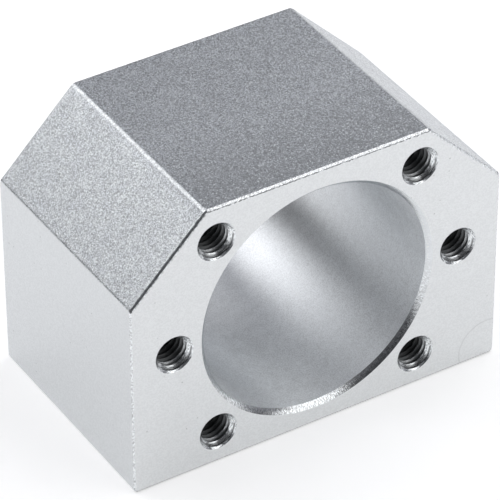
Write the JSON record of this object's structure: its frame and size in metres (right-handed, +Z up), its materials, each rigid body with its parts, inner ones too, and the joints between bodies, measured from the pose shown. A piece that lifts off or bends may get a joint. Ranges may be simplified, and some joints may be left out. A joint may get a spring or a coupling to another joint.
{
  "type": "ball screw nut housing",
  "caption": "Aluminium block that carries a flanged ball nut: through bore, ring of tapped flange holes, sloping shoulders and a flat tapped base.",
  "frame": {"origin": "centre of the base, straight below the bore and halfway along it", "axes": "+Z up from the base, bore along Y with the nut's flange seat at -Y, +X across the width"},
  "size_m": [0.066, 0.0396, 0.048],
  "materials": {
    "blasted_aluminium": "fine bead-blasted and clear anodised bar, with a satin bore, bright turned bevels and freshly cut threads"
  },
  "bodies": {
    "root": {"housing": "blasted_aluminium"}
  },
  "joints": []
}
